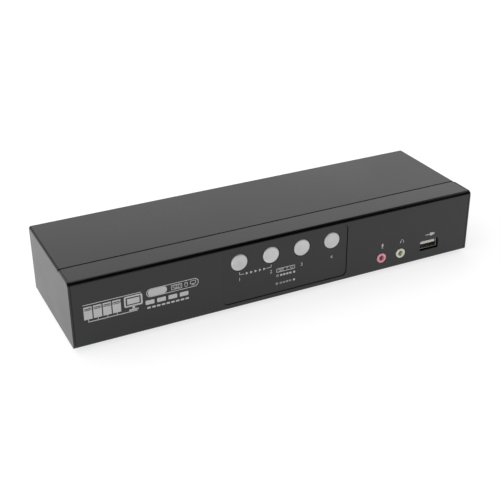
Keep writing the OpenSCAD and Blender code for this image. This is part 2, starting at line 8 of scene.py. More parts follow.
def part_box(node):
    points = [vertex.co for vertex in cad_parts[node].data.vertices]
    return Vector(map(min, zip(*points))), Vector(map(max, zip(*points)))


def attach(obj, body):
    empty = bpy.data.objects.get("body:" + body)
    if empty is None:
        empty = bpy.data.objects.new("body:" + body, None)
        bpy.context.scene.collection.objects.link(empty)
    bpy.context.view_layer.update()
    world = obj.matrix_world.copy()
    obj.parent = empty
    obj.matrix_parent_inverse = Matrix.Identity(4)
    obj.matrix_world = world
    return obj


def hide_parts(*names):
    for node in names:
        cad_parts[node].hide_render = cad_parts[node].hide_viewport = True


# A desktop switch that shares one monitor, keyboard and mouse between four computers.
# It is put together here in the order of the workbench: case, front panel, buttons, sockets, boards.

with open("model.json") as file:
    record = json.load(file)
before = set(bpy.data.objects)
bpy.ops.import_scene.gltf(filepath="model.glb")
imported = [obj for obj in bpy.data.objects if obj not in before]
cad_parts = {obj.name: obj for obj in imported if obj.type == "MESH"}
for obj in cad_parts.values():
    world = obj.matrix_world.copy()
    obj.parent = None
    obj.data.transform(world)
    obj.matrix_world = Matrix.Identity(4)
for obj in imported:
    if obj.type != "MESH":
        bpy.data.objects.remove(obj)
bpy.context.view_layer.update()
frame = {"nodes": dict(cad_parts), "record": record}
nodes = frame["nodes"]
mm = 0.001

case_low, case_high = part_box("base_chassis")
front = case_low.y
bottom = case_low.z
case_mid = (case_low + case_high) / 2


# ---------- Camera ----------
# A long lens, level with a seated person's eye, a little to the left of the front.

azimuth = math.radians(-26.12)
elevation = math.radians(27.77)
roll = math.radians(-0.35)
distance = 620.7 * mm
aim = case_mid + Vector((-5.85, -0.9, -6.6)) * mm

back = Vector((
    math.sin(azimuth) * math.cos(elevation),
    -math.cos(azimuth) * math.cos(elevation),
    math.sin(elevation),
))
bpy.ops.object.camera_add(location=aim + back * distance)
camera = bpy.context.object
camera.name = "camera"
camera.rotation_mode = "QUATERNION"
camera.rotation_quaternion = Quaternion(back, roll) @ (-back).to_track_quat("-Z", "Y")
camera.data.sensor_width = 36
camera.data.lens = 70.24
bpy.context.scene.camera = camera


# ---------- Table and light ----------
# A white acrylic table, lit a little from below, with a white wall behind and a tall soft box on the left.
# Nothing shines from above the camera, so the bends of the case stay dark.

bpy.context.scene.view_settings.view_transform = "Standard"

bpy.ops.mesh.primitive_plane_add(size=9, location=(0, 0, 0))
table = bpy.context.object
table.name = "table"
table_white = bpy.data.materials.new("table_white")
table_white.use_nodes = True
table_shader = table_white.node_tree.nodes["Principled BSDF"]
table_shader.inputs["Base Color"].default_value = (0.46, 0.46, 0.46, 1)
table_shader.inputs["Roughness"].default_value = 0.9
table_shader.inputs["Specular IOR Level"].default_value = 0.1
table_shader.inputs["Emission Color"].default_value = (1, 1, 1, 1)
table_shader.inputs["Emission Strength"].default_value = 0.73
table.data.materials.append(table_white)

room = bpy.data.worlds.new("room")
bpy.context.scene.world = room
room.use_nodes = True
room_nodes = room.node_tree.nodes
room_links = room.node_tree.links
sky = room_nodes["Background"]
sky.inputs["Color"].default_value = (1, 1, 1, 1)
where = room_nodes.new("ShaderNodeTexCoord")


def brightness_by_direction(toward, start, end, low, high):
    """How bright the room is: low away from a direction, high near it, as cosines from start to end."""
    turn = room_nodes.new("ShaderNodeVectorMath")
    turn.operation = "DOT_PRODUCT"
    turn.inputs[1].default_value = Vector(toward).normalized()
    room_links.new(where.outputs["Generated"], turn.inputs[0])
    span = room_nodes.new("ShaderNodeMapRange")
    span.interpolation_type = "SMOOTHSTEP"
    span.inputs["From Min"].default_value = start
    span.inputs["From Max"].default_value = end
    span.inputs["To Min"].default_value = low
    span.inputs["To Max"].default_value = high
    room_links.new(turn.outputs["Value"], span.inputs["Value"])
    return span.outputs["Result"]


def worked_out(operation, first, second):
    """One step of arithmetic on two brightnesses."""
    step = room_nodes.new("ShaderNodeMath")
    step.operation = operation
    room_links.new(first, step.inputs[0])
    room_links.new(second, step.inputs[1])
    return step.outputs["Value"]


walls = brightness_by_direction((0.1, 1, 0.1), -0.6, 0.5, 0.75, 1.08)
left_box = brightness_by_direction((-1, 0.3, 0.25), 0.2, 0.9, 0.0, 1.08)
lit = worked_out("ADD", walls, left_box)
dimmer_above = brightness_by_direction((0, 0, 1), 0.42, 0.6, 1.03, 0.7)
lit = worked_out("MULTIPLY", lit, dimmer_above)
dark_ceiling = brightness_by_direction((0.8, -0.45, 0.75), 0.6, 0.74, 0.0, 1.0)
raised = brightness_by_direction((0.5, 0, 1), 0.34, 0.48, 0.0, 1.0)
dark_ceiling = worked_out("MULTIPLY", dark_ceiling, raised)
dark_corner = brightness_by_direction((-0.5, 0.75, 0.42), 0.84, 0.96, 0.0, 0.9)
dark = worked_out("MAXIMUM", dark_ceiling, dark_corner)
lit = worked_out("SUBTRACT", lit, worked_out("MULTIPLY", lit, dark))
room_links.new(lit, sky.inputs["Strength"])


def soft_box(name, place, size, power):
    """A flat diffused lamp that faces the middle of the case."""
    bpy.ops.object.light_add(type="AREA", location=place)
    lamp = bpy.context.object
    lamp.name = name
    lamp.data.shape = "RECTANGLE"
    lamp.data.size, lamp.data.size_y = size
    lamp.data.energy = power
    lamp.rotation_mode = "QUATERNION"
    lamp.rotation_quaternion = (Vector(place) - case_mid).to_track_quat("Z", "Y")
    return lamp


soft_box("back_left_lamp", (-1.1, 1.3, 1.5), (1.2, 1.2), 6)
soft_box("right_lamp", (1.8, 0.1, 1.4), (1.2, 1.2), 5)


# ---------- Folded steel case ----------
# The chassis, cover and rear panel are 1.2 mm sheet, punched, folded and coated with black powder.
# The powder melts to a satin skin with fine orange peel, and rounds every cut edge a little.


def from_cad(node, name):
    """A welded copy of a CAD node's mesh, with its flat faces made whole."""
    bpy.ops.object.select_all(action="DESELECT")
    piece = bpy.data.objects.new(name, nodes[node].data.copy())
    bpy.context.collection.objects.link(piece)
    bpy.context.view_layer.objects.active = piece
    piece.select_set(True)
    piece.data.materials.clear()
    bpy.ops.mesh.customdata_custom_splitnormals_clear()
    bpy.ops.object.mode_set(mode="EDIT")
    bpy.ops.mesh.select_all(action="SELECT")
    bpy.ops.mesh.remove_doubles(threshold=0.002 * mm)
    bpy.ops.mesh.dissolve_limited(angle_limit=math.radians(0.4))
    bpy.ops.object.mode_set(mode="OBJECT")
    return piece


def apply_all(piece):
    """Applies a piece's modifiers in order."""
    bpy.ops.object.select_all(action="DESELECT")
    bpy.context.view_layer.objects.active = piece
    piece.select_set(True)
    for modifier in list(piece.modifiers):
        bpy.ops.object.modifier_apply(modifier=modifier.name)


def soften(piece, radius, segments=2, sharp=40):
    """Rounds every sharp edge of a piece, and shades its flat faces flat."""
    edge = piece.modifiers.new("edge", "BEVEL")
    edge.limit_method = "ANGLE"
    edge.angle_limit = math.radians(sharp)
    edge.width = radius
    edge.segments = segments
    apply_all(piece)
    bpy.ops.object.shade_smooth_by_angle(angle=math.radians(sharp))
    even = piece.modifiers.new("even", "WEIGHTED_NORMAL")
    even.keep_sharp = True
    apply_all(piece)
    return piece


def finish_piece(piece, material, body="case", node=None):
    """Gives a piece its material and slot, and its place on a body and, if it has one, in a node's stead."""
    piece.data.materials.clear()
    piece.data.materials.append(material)
    if node:
        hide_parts(node)
    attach(piece, body)


def remade(node, name, radius, material, segments=2, sharp=40):
    """Makes a node's visible piece: its own mesh with rounded edges, in its material."""
    piece = soften(from_cad(node, name), radius, segments, sharp)
    finish_piece(piece, material, node=node)


def start_finish(name, colour, rough, metal=0.0):
    """A new material: returns it, its node tree, its shader and the place on the piece."""
    material = bpy.data.materials.new(name)
    material.use_nodes = True
    tree = material.node_tree
    shader = tree.nodes["Principled BSDF"]
    shader.inputs["Base Color"].default_value = (*colour, 1)
    shader.inputs["Roughness"].default_value = rough
    shader.inputs["Metallic"].default_value = metal
    place = tree.nodes.new("ShaderNodeTexCoord").outputs["Object"]
    return material, tree, shader, place


def cloudy(tree, place, size, detail=2.0, stretch=(1, 1, 1)):
    """Soft noise with spots of about the given size, drawn out where stretch is under 1."""
    mapping = tree.nodes.new("ShaderNodeMapping")
    mapping.inputs["Scale"].default_value = stretch
    tree.links.new(place, mapping.inputs["Vector"])
    noise = tree.nodes.new("ShaderNodeTexNoise")
    noise.inputs["Scale"].default_value = 1 / size
    noise.inputs["Detail"].default_value = detail
    tree.links.new(mapping.outputs["Vector"], noise.inputs["Vector"])
    return noise.outputs["Fac"]


def spread(tree, source, low, high, start=0.3, end=0.7):
    """Maps soft noise to values from low to high."""
    span = tree.nodes.new("ShaderNodeMapRange")
    span.inputs["From Min"].default_value = start
    span.inputs["From Max"].default_value = end
    span.inputs["To Min"].default_value = low
    span.inputs["To Max"].default_value = high
    tree.links.new(source, span.inputs["Value"])
    return span.outputs["Result"]


def blend_colours(tree, share, first, second):
    """Mixes two colours by a share from 0 to 1. Either colour may be another mix."""
    mix = tree.nodes.new("ShaderNodeMix")
    mix.data_type = "RGBA"
    tree.links.new(share, mix.inputs["Factor"])
    for socket, colour in ((mix.inputs[6], first), (mix.inputs[7], second)):
        if isinstance(colour, tuple):
            socket.default_value = (*colour, 1)
        else:
            tree.links.new(colour, socket)
    return mix.outputs[2]


def emboss(tree, shader, height, depth, strength=1.0):
    """Raises the surface by depth where height is 1, on top of what is embossed already."""
    bump = tree.nodes.new("ShaderNodeBump")
    bump.inputs["Distance"].default_value = depth
    bump.inputs["Strength"].default_value = strength
    tree.links.new(height, bump.inputs["Height"])
    if shader.inputs["Normal"].is_linked:
        tree.links.new(shader.inputs["Normal"].links[0].from_socket, bump.inputs["Normal"])
    tree.links.new(bump.outputs["Normal"], shader.inputs["Normal"])


def powder_coat(name, rough):
    """Black powder coat: satin, with orange peel, a fine tooth and the faintest film of dust."""
    material, tree, shader, place = start_finish(name, (0.002, 0.002, 0.002), rough)
    peel = cloudy(tree, place, 1.6 * mm, 1.0)
    tooth = cloudy(tree, place, 0.35 * mm, 2.0)
    haze = cloudy(tree, place, 60 * mm, 4.0)
    tree.links.new(spread(tree, haze, rough - 0.03, rough + 0.03), shader.inputs["Roughness"])
    dusty = blend_colours(tree, spread(tree, haze, 0, 1), (0.0015, 0.0015, 0.0016), (0.003, 0.003, 0.0032))
    specks = tree.nodes.new("ShaderNodeTexVoronoi")
    specks.inputs["Scale"].default_value = 1 / (5 * mm)
    tree.links.new(place, specks.inputs["Vector"])
    speck = spread(tree, specks.outputs["Distance"], 1, 0, 0.018, 0.03)
    rubs = spread(tree, cloudy(tree, place, 0.5 * mm, 1.0, stretch=(0.05, 0.4, 0.4)), 0, 0.12, 0.69, 0.78)
    dusty = blend_colours(tree, rubs, dusty, (0.012, 0.012, 0.012))
    dusty = blend_colours(tree, speck, dusty, (0.03, 0.03, 0.029))
    tree.links.new(dusty, shader.inputs["Base Color"])
    emboss(tree, shader, tooth, 0.01 * mm)
    emboss(tree, shader, peel, 0.03 * mm)
    return material


for node, name, rough in (
    ("base_chassis", "chassis", 0.22),
    ("top_cover", "cover", 0.29),
    ("rear_panel", "rear_plate", 0.27),
):
    remade(node, name, 0.15 * mm, powder_coat(name + "_coat", rough))


# ---------- Case screws ----------
# Ten M3 pan-head machine screws in black zinc hold the cover, the rear panel and the chassis together.
# Their cross recesses are a little brighter where a driver has rubbed the plating.

black_zinc, tree, shader, place = start_finish("black_zinc", (0.03, 0.03, 0.032), 0.38, 0.85)
rubbed = cloudy(tree, place, 0.9 * mm, 3.0)
worn = spread(tree, rubbed, 0, 1, 0.5, 0.8)
zinc_colour = blend_colours(tree, worn, (0.022, 0.022, 0.024), (0.09, 0.09, 0.095))
tree.links.new(zinc_colour, shader.inputs["Base Color"])
tree.links.new(spread(tree, rubbed, 0.3, 0.5), shader.inputs["Roughness"])
emboss(tree, shader, cloudy(tree, place, 0.2 * mm), 0.004 * mm)

remade("case_screws", "screws", 0.08 * mm, black_zinc, sharp=30)


# ---------- Rubber feet ----------
# Four moulded rubber pads, stuck near the corners of the underside.
# Each has a shallow dish in its sole, which leaves a ring to grip the desk.

sole_ring = 2.2 * mm
sole_dish = 0.4 * mm


def faces_where(piece, wanted):
    """Selects, in edit mode, only the faces for which wanted(face) is true."""
    bpy.ops.object.mode_set(mode="EDIT")
    bpy.ops.mesh.select_mode(type="FACE")
    bpy.ops.mesh.select_all(action="DESELECT")
    bpy.ops.object.mode_set(mode="OBJECT")
    for face in piece.data.polygons:
        face.select = wanted(face)
    bpy.ops.object.mode_set(mode="EDIT")


foot_rubber, tree, shader, place = start_finish("foot_rubber", (0.012, 0.012, 0.012), 0.75)
bloom = cloudy(tree, place, 3 * mm, 3.0)
rubber_colour = blend_colours(tree, spread(tree, bloom, 0, 1), (0.009, 0.009, 0.009), (0.022, 0.022, 0.021))
tree.links.new(rubber_colour, shader.inputs["Base Color"])
tree.links.new(spread(tree, bloom, 0.65, 0.85), shader.inputs["Roughness"])
emboss(tree, shader, cloudy(tree, place, 0.3 * mm), 0.02 * mm)

feet = from_cad("rubber_feet", "feet")
faces_where(feet, lambda face: face.normal.z < -0.99 and face.center.z < 0.1 * mm)
bpy.ops.mesh.inset(thickness=sole_ring, use_individual=True)
bpy.ops.transform.translate(value=(0, 0, sole_dish))
bpy.ops.object.mode_set(mode="OBJECT")
soften(feet, 0.25 * mm, segments=3, sharp=30)
finish_piece(feet, foot_rubber, node="rubber_feet")


# ---------- Button panel ----------
# A black ABS moulding behind the window in the front wall, held by four nuts on welded studs.
# A short tube round each button keeps the light of its two diodes in.


def moulded(name, colour, rough, texture=0.3 * mm, depth=0.008 * mm):
    """An opaque moulded plastic with a fine spark-eroded texture and slight flow marks."""
    material, tree, shader, place = start_finish(name, colour, rough)
    flow = cloudy(tree, place, 9 * mm, 2.0)
    lighter = tuple(min(1, channel * 1.12 + 0.002) for channel in colour)
    darker = tuple(channel * 0.92 for channel in colour)
    shade = blend_colours(tree, spread(tree, flow, 0, 1), darker, lighter)
    tree.links.new(shade, shader.inputs["Base Color"])
    tree.links.new(spread(tree, flow, rough - 0.04, rough + 0.05), shader.inputs["Roughness"])
    emboss(tree, shader, cloudy(tree, place, texture), depth)
    return material


panel_plastic = moulded("panel_plastic", (0.012, 0.012, 0.013), 0.5)
remade("button_panel", "panel", 0.12 * mm, panel_plastic)


# ---------- Printed film ----------
# A polycarbonate film, 0.2 mm thick, stuck to the panel inside the window. Its face is finely grained.
# The figures and signs on it, and on the steel beside it, are screen-printed in light grey ink.

film_plastic, tree, shader, place = start_finish("film_plastic", (0.002, 0.002, 0.002), 0.3)
film_grain = cloudy(tree, place, 0.25 * mm, 1.0)
film_wave = cloudy(tree, place, 25 * mm)
tree.links.new(spread(tree, film_wave, 0.28, 0.33), shader.inputs["Roughness"])
emboss(tree, shader, film_grain, 0.004 * mm)
emboss(tree, shader, film_wave, 0.05 * mm)

remade("panel_overlay", "film", 0.04 * mm, film_plastic)

ink_grey, tree, shader, place = start_finish("ink_grey", (0.5, 0.5, 0.5), 0.55)
screen_mesh = cloudy(tree, place, 0.3 * mm, 1.0)
ink_colour = blend_colours(tree, spread(tree, screen_mesh, 0, 1), (0.42, 0.42, 0.42), (0.56, 0.56, 0.56))
tree.links.new(ink_colour, shader.inputs["Base Color"])
tree.links.new(spread(tree, screen_mesh, 0.48, 0.62), shader.inputs["Roughness"])
emboss(tree, shader, screen_mesh, 0.003 * mm)

ink_thick = 0.02 * mm
ink_line = 0.35


def shape_done(x, z, turn=0.0):
    """Moves the flat shape being drawn to x, z in millimetres, seen from the front, and returns it."""
    bpy.ops.object.mode_set(mode="OBJECT")
    shape = bpy.context.object
    stand = Matrix.Rotation(math.radians(90), 4, "X")
    spun = Matrix.Rotation(math.radians(turn), 4, "Z")
    shape.data.transform(Matrix.Scale(mm, 4) @ Matrix.Translation((x, 0, z)) @ stand @ spun)
    return shape


def plate(x, z, width, height, corner=0.0, line=0.0, turn=0.0):
    """A printed plate with round corners, or only its outline where a line width is given."""
    bpy.ops.mesh.primitive_plane_add(size=1, location=(0, 0, 0))
    bpy.ops.object.mode_set(mode="EDIT")
    bpy.ops.transform.resize(value=(width, height, 1))
    if corner:
        bpy.ops.mesh.bevel(offset=corner, segments=5, affect="VERTICES")
        bpy.ops.mesh.select_all(action="SELECT")
    if line:
        bpy.ops.mesh.inset(thickness=line)
        bpy.ops.mesh.delete(type="FACE")
    return shape_done(x, z, turn)


def disc(x, z, radius, line=0.0, sides=32, turn=0.0, keep_above=None):
    """A printed disc, ring or polygon. keep_above cuts off what is lower than that."""
    bpy.ops.mesh.primitive_circle_add(vertices=sides, radius=radius, fill_type="NGON", location=(0, 0, 0))
    bpy.ops.object.mode_set(mode="EDIT")
    if line:
        bpy.ops.mesh.inset(thickness=line)
        bpy.ops.mesh.delete(type="FACE")
    if keep_above is not None:
        bpy.ops.mesh.select_all(action="SELECT")
        bpy.ops.mesh.bisect(plane_co=(0, keep_above, 0), plane_no=(0, 1, 0), clear_inner=True)
    return shape_done(x, z, turn)


def figure(x, z, height, text):
    """A printed figure, centred at x, z."""
    bpy.ops.object.text_add(location=(0, 0, 0))
    writing = bpy.context.object
    writing.data.body = text
    writing.data.size = height * 1.4
    writing.data.align_x = "CENTER"
    writing.data.align_y = "CENTER"
    bpy.ops.object.convert(target="MESH")
    return shape_done(x, z)


def monitor_sign(x, z, size):
    """A screen on a stand."""
    return [
        plate(x, z + size * 0.12, size, size * 0.64, size * 0.08, size * 0.09),
        plate(x, z - size * 0.28, size * 0.14, size * 0.2),
        plate(x, z - size * 0.4, size * 0.5, size * 0.09),
    ]


def keyboard_sign(x, z, size):
    """A keyboard: an outline with two rows of keys and a space bar."""
    keys = [plate(x, z, size, size * 0.46, size * 0.06, size * 0.05)]
    for column in range(5):
        for row in range(2):
            key_x = x + (column - 2) * size * 0.16
            keys.append(plate(key_x, z + (0.9 - row) * size * 0.13, size * 0.08, size * 0.07))
    keys.append(plate(x, z - size * 0.12, size * 0.42, size * 0.06))
    return keys


def mouse_sign(x, z, size):
    """A mouse: a long round outline with its wheel."""
    return [
        plate(x, z, size * 0.6, size, size * 0.28, size * 0.09),
        plate(x, z + size * 0.22, size * 0.09, size * 0.24),
    ]


def computer_sign(x, z, size):
    """A small tower computer: a filled case with two slots left clear."""
    return [
        plate(x, z - size * 0.16, size * 0.6, size * 0.68),
        plate(x - size * 0.26, z + size * 0.28, size * 0.08, size * 0.2),
        plate(x + size * 0.26, z + size * 0.28, size * 0.08, size * 0.2),
        plate(x, z + size * 0.26, size * 0.6, size * 0.05),
        plate(x, z + size * 0.42, size * 0.6, size * 0.12),
    ]


def microphone_sign(x, z, size):
    """A stand microphone."""
    return [
        plate(x, z + size * 0.22, size * 0.26, size * 0.52, size * 0.12),
        disc(x, z + size * 0.1, size * 0.27, size * 0.07, turn=180, keep_above=0.0),
        plate(x, z - size * 0.28, size * 0.08, size * 0.24),
        plate(x, z - size * 0.42, size * 0.36, size * 0.08),
    ]


def headphone_sign(x, z, size):
    """Headphones: a band over two ear cups."""
    return [
        disc(x, z, size * 0.42, size * 0.1, keep_above=0.0),
        plate(x - size * 0.36, z - size * 0.16, size * 0.2, size * 0.36, size * 0.05),
        plate(x + size * 0.36, z - size * 0.16, size * 0.2, size * 0.36, size * 0.05),
    ]


def speaker_sign(x, z, size):
    """A loudspeaker with one wave."""
    return [
        plate(x - size * 0.34, z, size * 0.2, size * 0.32),
        disc(x - size * 0.12, z, size * 0.36, sides=3, turn=90),
        disc(x + size * 0.06, z, size * 0.4, size * 0.08, turn=-90, keep_above=size * 0.14),
    ]


def plug_sign(x, z, length):
    """A flat plug on its lead."""
    return [
        plate(x - length * 0.22, z, length * 0.5, length * 0.08),
        plate(x + length * 0.16, z, length * 0.34, length * 0.3, length * 0.05),
        plate(x + length * 0.42, z, length * 0.16, length * 0.2, 0, length * 0.05),
    ]


def screen_plug_sign(x, z, width):
    """The mouth of a screen socket: a flat plate with its lower corners cut."""
    return [
        plate(x, z + width * 0.1, width, width * 0.24, 0, width * 0.06),
        plate(x, z - width * 0.14, width * 0.66, width * 0.08),
    ]


def print_on(name, shapes, face_y, seen_from_behind=False):
    """Joins printed shapes, gives the ink its thickness, and lays it on a face at face_y."""
    bpy.ops.object.select_all(action="DESELECT")
    for shape in shapes:
        shape.select_set(True)
    bpy.context.view_layer.objects.active = shapes[0]
    bpy.ops.object.join()
    ink = bpy.context.object
    ink.name = name
    thick = ink.modifiers.new("thick", "SOLIDIFY")
    thick.thickness = ink_thick
    thick.offset = 1
    apply_all(ink)
    if seen_from_behind:
        ink.data.transform(Matrix.Rotation(math.pi, 4, "Z"))
    ink.data.transform(Matrix.Translation((0, face_y, bottom)))
    finish_piece(ink, ink_grey)


def centre_of(node):
    """The middle of a CAD node's box."""
    low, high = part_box(node)
    return (low + high) / 2


button_row = [centre_of(f"button_cap_{n}").x / mm for n in range(1, 5)]
film_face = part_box("panel_overlay")[0].y
figure_z = 18.6
scan_z = 21.8
scan_mid = sum(button_row[:2]) / 2
console_z = 18.35

panel_signs = [figure(x, figure_z, 2.3, str(n)) for n, x in enumerate(button_row, 1)]
for end in button_row[:2]:
    panel_signs.append(plate(end, scan_z + 0.8, ink_line, 1.6 + ink_line))
for side in (-1, 1):
    panel_signs.append(plate(scan_mid + side * 9.0, scan_z, 3.2, ink_line))
for step in range(5):
    panel_signs.append(disc(scan_mid + (step - 2) * 2.9, scan_z, 1.05, sides=3, turn=-90))
panel_signs.append(plate(-0.5, console_z, 12.7, 2.7, 0.5, ink_line))
panel_signs += keyboard_sign(-3.6, console_z, 3.4)
panel_signs += mouse_sign(0.6, console_z, 1.7)
panel_signs += monitor_sign(3.6, console_z, 2.1)
# Two keys to the lamps: a ring, four dashes and a dot in each.
lamp_keys = ((-0.4, 14.8, 5.7, 1.2, 0), (-0.6, 9.4, 5.9, 0.9, 0.25))
for key_mid, key_z, half_wide, dash_high, dash_line in lamp_keys:
    panel_signs.append(disc(key_mid - half_wide, key_z, 0.75, 0.3))
    panel_signs.append(disc(key_mid + half_wide, key_z, 0.75))
    for step in range(4):
        panel_signs.append(plate(key_mid + (step - 1.5) * 2.1, key_z, 1.5, dash_high, 0.3, dash_line))
print_on("panel_print", panel_signs, film_face)

# Four computers joined by a line to one monitor, between two rules.
case_signs = []
for step in range(4):
    computer_x = -125.0 + step * 5.6
    case_signs += computer_sign(computer_x, 21.4, 8.2)
    case_signs.append(plate(computer_x, 16.5, ink_line, 1.8))
case_signs.append(plate(-110.6, 15.6, 29.2, 0.5))
case_signs.append(plate(-110.6, 26.7, 34.2, 0.4))
case_signs.append(plate(-96.2, 16.2, ink_line, 1.4))
case_signs += monitor_sign(-98.3, 21, 11.0)
case_signs.append(plate(-98.3, 22.3, 7.4, 3.6))

# A long round badge, half filled, with what the switch shares, over two rows of dashes.
badge_z = 24.55
case_signs.append(plate(-74.2, badge_z, 32.3, 5.5, 2.7, 0.4))
case_signs.append(plate(-83.6, badge_z, 11.6, 4.5, 2.0))
case_signs += keyboard_sign(-71.8, badge_z, 6.8)
case_signs += mouse_sign(-65.9, badge_z, 3.2)
case_signs += monitor_sign(-61.6, badge_z, 3.6)
for step in range(4):
    case_signs.append(plate(-88.4 + step * 7.0, 18.7, 5.4, 2.7, 0.5))
for step in range(9):
    case_signs.append(plate(-89.2 + step * 2.95, 15.2, 2.2, 1.1, 0.3))

case_signs += microphone_sign(68.7, 17.6, 3.6)
case_signs += headphone_sign(83.5, 17.6, 3.0)
case_signs += plug_sign(105.0, 17.8, 7.2)
print_on("front_print", case_signs, front)


# ---------- Buttons ----------
# Four round caps in light grey ABS. Each has a shallow dish, a rolled rim, and a flange behind the panel.
# The stem of a cap presses the black plunger of a snap switch, which pushes it back.


def turned(name, profile, mouth, inward=1, steps=72, upright=False):
    """Turns a profile of (radius, depth) in millimetres about a line through mouth, along Y or upright."""
    bpy.ops.object.select_all(action="DESELECT")
    bpy.ops.mesh.primitive_plane_add(size=mm, location=(0, 0, 0))
    piece = bpy.context.object
    piece.name = name
    bpy.ops.object.mode_set(mode="EDIT")
    bpy.ops.mesh.select_mode(type="VERT")
    bpy.ops.mesh.merge(type="CENTER")
    first_radius, first_depth = profile[0]
    bpy.ops.transform.translate(value=(first_radius * mm, first_depth * mm * inward, 0))
    for (radius, depth), (next_radius, next_depth) in zip(profile, profile[1:]):
        step = ((next_radius - radius) * mm, (next_depth - depth) * mm * inward, 0)
        bpy.ops.mesh.extrude_region_move(TRANSFORM_OT_translate={"value": step})
    bpy.ops.mesh.select_all(action="SELECT")
    bpy.ops.mesh.spin(steps=steps, angle=2 * math.pi, center=(0, 0, 0), axis=(0, 1, 0))
    bpy.ops.mesh.select_all(action="SELECT")
    bpy.ops.mesh.remove_doubles(threshold=0.001 * mm)
    bpy.ops.mesh.normals_make_consistent(inside=False)
    bpy.ops.object.mode_set(mode="OBJECT")
    if upright:
        piece.data.transform(Matrix.Rotation(math.pi / 2, 4, "X"))
    piece.data.transform(Matrix.Translation(mouth))
    bpy.ops.object.shade_smooth_by_angle(angle=math.radians(35))
    return piece


def arc(radius, depth, bend, start, end, steps=5):
    """Points of a small round about (radius, depth), from start to end degrees. 0 is out, 90 is inward."""
    turns = [math.radians(start + (end - start) * step / steps) for step in range(steps + 1)]
    return [(radius + bend * math.cos(t), depth + bend * math.sin(t)) for t in turns]


cap_plastic = moulded("cap_plastic", (0.57, 0.57, 0.565), 0.42, 0.2 * mm, 0.004 * mm)
cap_shader = cap_plastic.node_tree.nodes["Principled BSDF"]
cap_shader.inputs["Subsurface Weight"].default_value = 0.05
cap_shader.inputs["Subsurface Scale"].default_value = 0.4 * mm

cap_radius = 5.35
cap_low, cap_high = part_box("button_cap_1")
cap_deep = (cap_high.y - cap_low.y) / mm
flange_radius = (cap_high.x - cap_low.x) / 2 / mm
flange_at = cap_deep - 2.2
cap_edge = 0.8
cap_profile = [(0, 0.14), (2.0, 0.12), (3.3, 0.06), (4.0, 0.015), (4.35, 0)]
cap_profile += arc(cap_radius - cap_edge, cap_edge, cap_edge, -90, 0, 8)
cap_profile += [(cap_radius, flange_at)]
cap_profile += arc(flange_radius - 0.15, flange_at + 0.15, 0.15, -90, 0, 2)
cap_profile += [(flange_radius, flange_at + 1), (2, flange_at + 1)]
cap_profile += [(2, cap_deep - 0.2), (1.8, cap_deep), (0, cap_deep)]

plunger_black = moulded("plunger_black", (0.02, 0.02, 0.02), 0.4, 0.15 * mm, 0.003 * mm)
plunger_low, plunger_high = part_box("switch_plunger_1")
plunger_radius = (plunger_high.x - plunger_low.x) / 2 / mm
plunger_deep = (plunger_high.y - plunger_low.y) / mm
plunger_profile = [(0, 0)] + arc(plunger_radius - 0.25, 0.25, 0.25, -90, 0, 3)
plunger_profile += [(plunger_radius, plunger_deep), (0, plunger_deep)]

for n in range(1, 5):
    cap_mid = centre_of(f"button_cap_{n}")
    cap = turned(f"cap_{n}", cap_profile, (cap_mid.x, cap_low.y, cap_mid.z))
    finish_piece(cap, cap_plastic, f"button_{n}", f"button_cap_{n}")
    plunger = turned(f"plunger_{n}", plunger_profile, (cap_mid.x, plunger_low.y, cap_mid.z), steps=40)
    finish_piece(plunger, plunger_black, f"button_{n}", f"switch_plunger_{n}")


# ---------- Audio sockets ----------
# Twelve 3.5 mm sockets on the main board: a coloured nylon body with a round collar through the steel.
# A plated sleeve lines each mouth. Pink is for a microphone, green and cream for speakers and headphones.


def plated(name, colour, rough):
    """A plated metal with fine drawing lines and a slight change of tone."""
    material, tree, shader, place = start_finish(name, colour, rough, 1.0)
    drawn = cloudy(tree, place, 0.4 * mm, 2.0, stretch=(0.15, 0.05, 1))
    tone = cloudy(tree, place, 5 * mm, 2.0)
    duller = tuple(channel * 0.8 for channel in colour)
    tree.links.new(blend_colours(tree, spread(tree, tone, 0, 1), duller, colour), shader.inputs["Base Color"])
    tree.links.new(spread(tree, drawn, rough - 0.06, rough + 0.1), shader.inputs["Roughness"])
    emboss(tree, shader, drawn, 0.002 * mm)
    return material


nickel = plated("nickel", (0.56, 0.55, 0.53), 0.26)
gold = plated("gold", (0.85, 0.6, 0.25), 0.25)

jack_colours = {
    "jack_pink": moulded("nylon_pink", (0.72, 0.3, 0.37), 0.42),
    "jack_cream": moulded("nylon_cream", (0.61, 0.63, 0.5), 0.42),
    "jack_green": moulded("nylon_green", (0.3, 0.5, 0.18), 0.42),
}
jack_slots = {
    "front_mic_jack": "jack_pink",
    "front_headphone_jack": "jack_cream",
    "console_mic_jack": "jack_pink",
    "console_speaker_jack": "jack_green",
}
for n in range(1, 5):
    jack_slots[f"mic_jack_{n}"] = "jack_pink"
    jack_slots[f"speaker_jack_{n}"] = "jack_green"

jack_mouths = {m["name"]: Vector(m["pos_m"]) for m in frame["record"]["mounts"]}
bore_radius = 1.8
sleeve_wall = 0.06
sleeve_start = 3.5
sleeve_end = 9
sleeve_radius = bore_radius - sleeve_wall
sleeve_profile = [(bore_radius, sleeve_start), (sleeve_radius, sleeve_start + 0.05)]
sleeve_profile += [(sleeve_radius, sleeve_end), (bore_radius, sleeve_end), (bore_radius, sleeve_start)]

for node, slot in jack_slots.items():
    remade(node, node + "_body", 0.22 * mm, jack_colours[slot], segments=3)
    mouth = jack_mouths[node.replace("jack", "bore")]
    inward = 1 if mouth.y < 0 else -1
    sleeve = turned(node + "_sleeve", sleeve_profile, mouth, inward, steps=48)
    finish_piece(sleeve, nickel)


# ---------- USB and screen sockets ----------
# Shells folded from nickel-plated steel, with leaf springs that grip the plug, round a moulded tongue.
# Gilt contacts lie in rows along each tongue.

